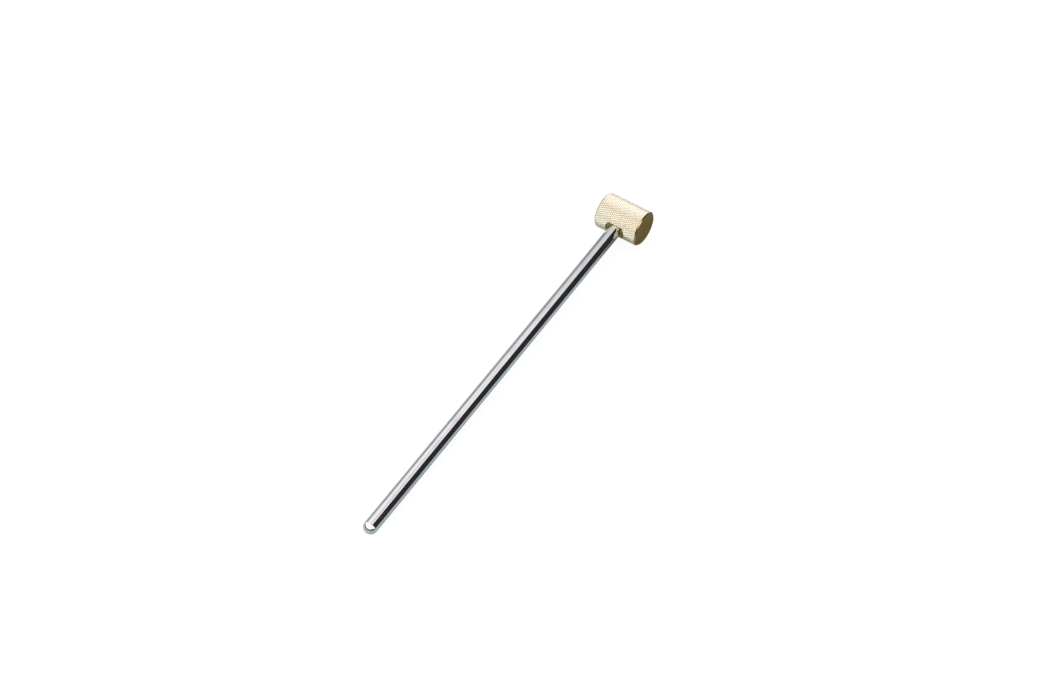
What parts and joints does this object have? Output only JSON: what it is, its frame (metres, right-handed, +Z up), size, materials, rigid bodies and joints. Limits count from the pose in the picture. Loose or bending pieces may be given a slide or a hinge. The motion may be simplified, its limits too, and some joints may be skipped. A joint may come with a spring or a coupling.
{
  "type": "tapping hammer",
  "caption": "Small tapping hammer with a diamond-knurled cylindrical brass head and a straight plated rod handle with a round butt.",
  "frame": {"origin": "on the resting surface, under the middle of the hammer's overall box as it lies at rest", "axes": "+X from the handle's butt towards the head, +Y along the head's axis from one striking face to the other, +Z up from the resting surface"},
  "size_m": [0.2576, 0.028, 0.0214],
  "materials": {
    "brass_head": "diamond knurled sides, turned flat faces, clear lacquer",
    "plated_rod": "bright plating over drawn bar, fine marks along its length"
  },
  "bodies": {
    "root": {"barrel_head": "brass_head", "rod_handle": "plated_rod"}
  },
  "joints": []
}
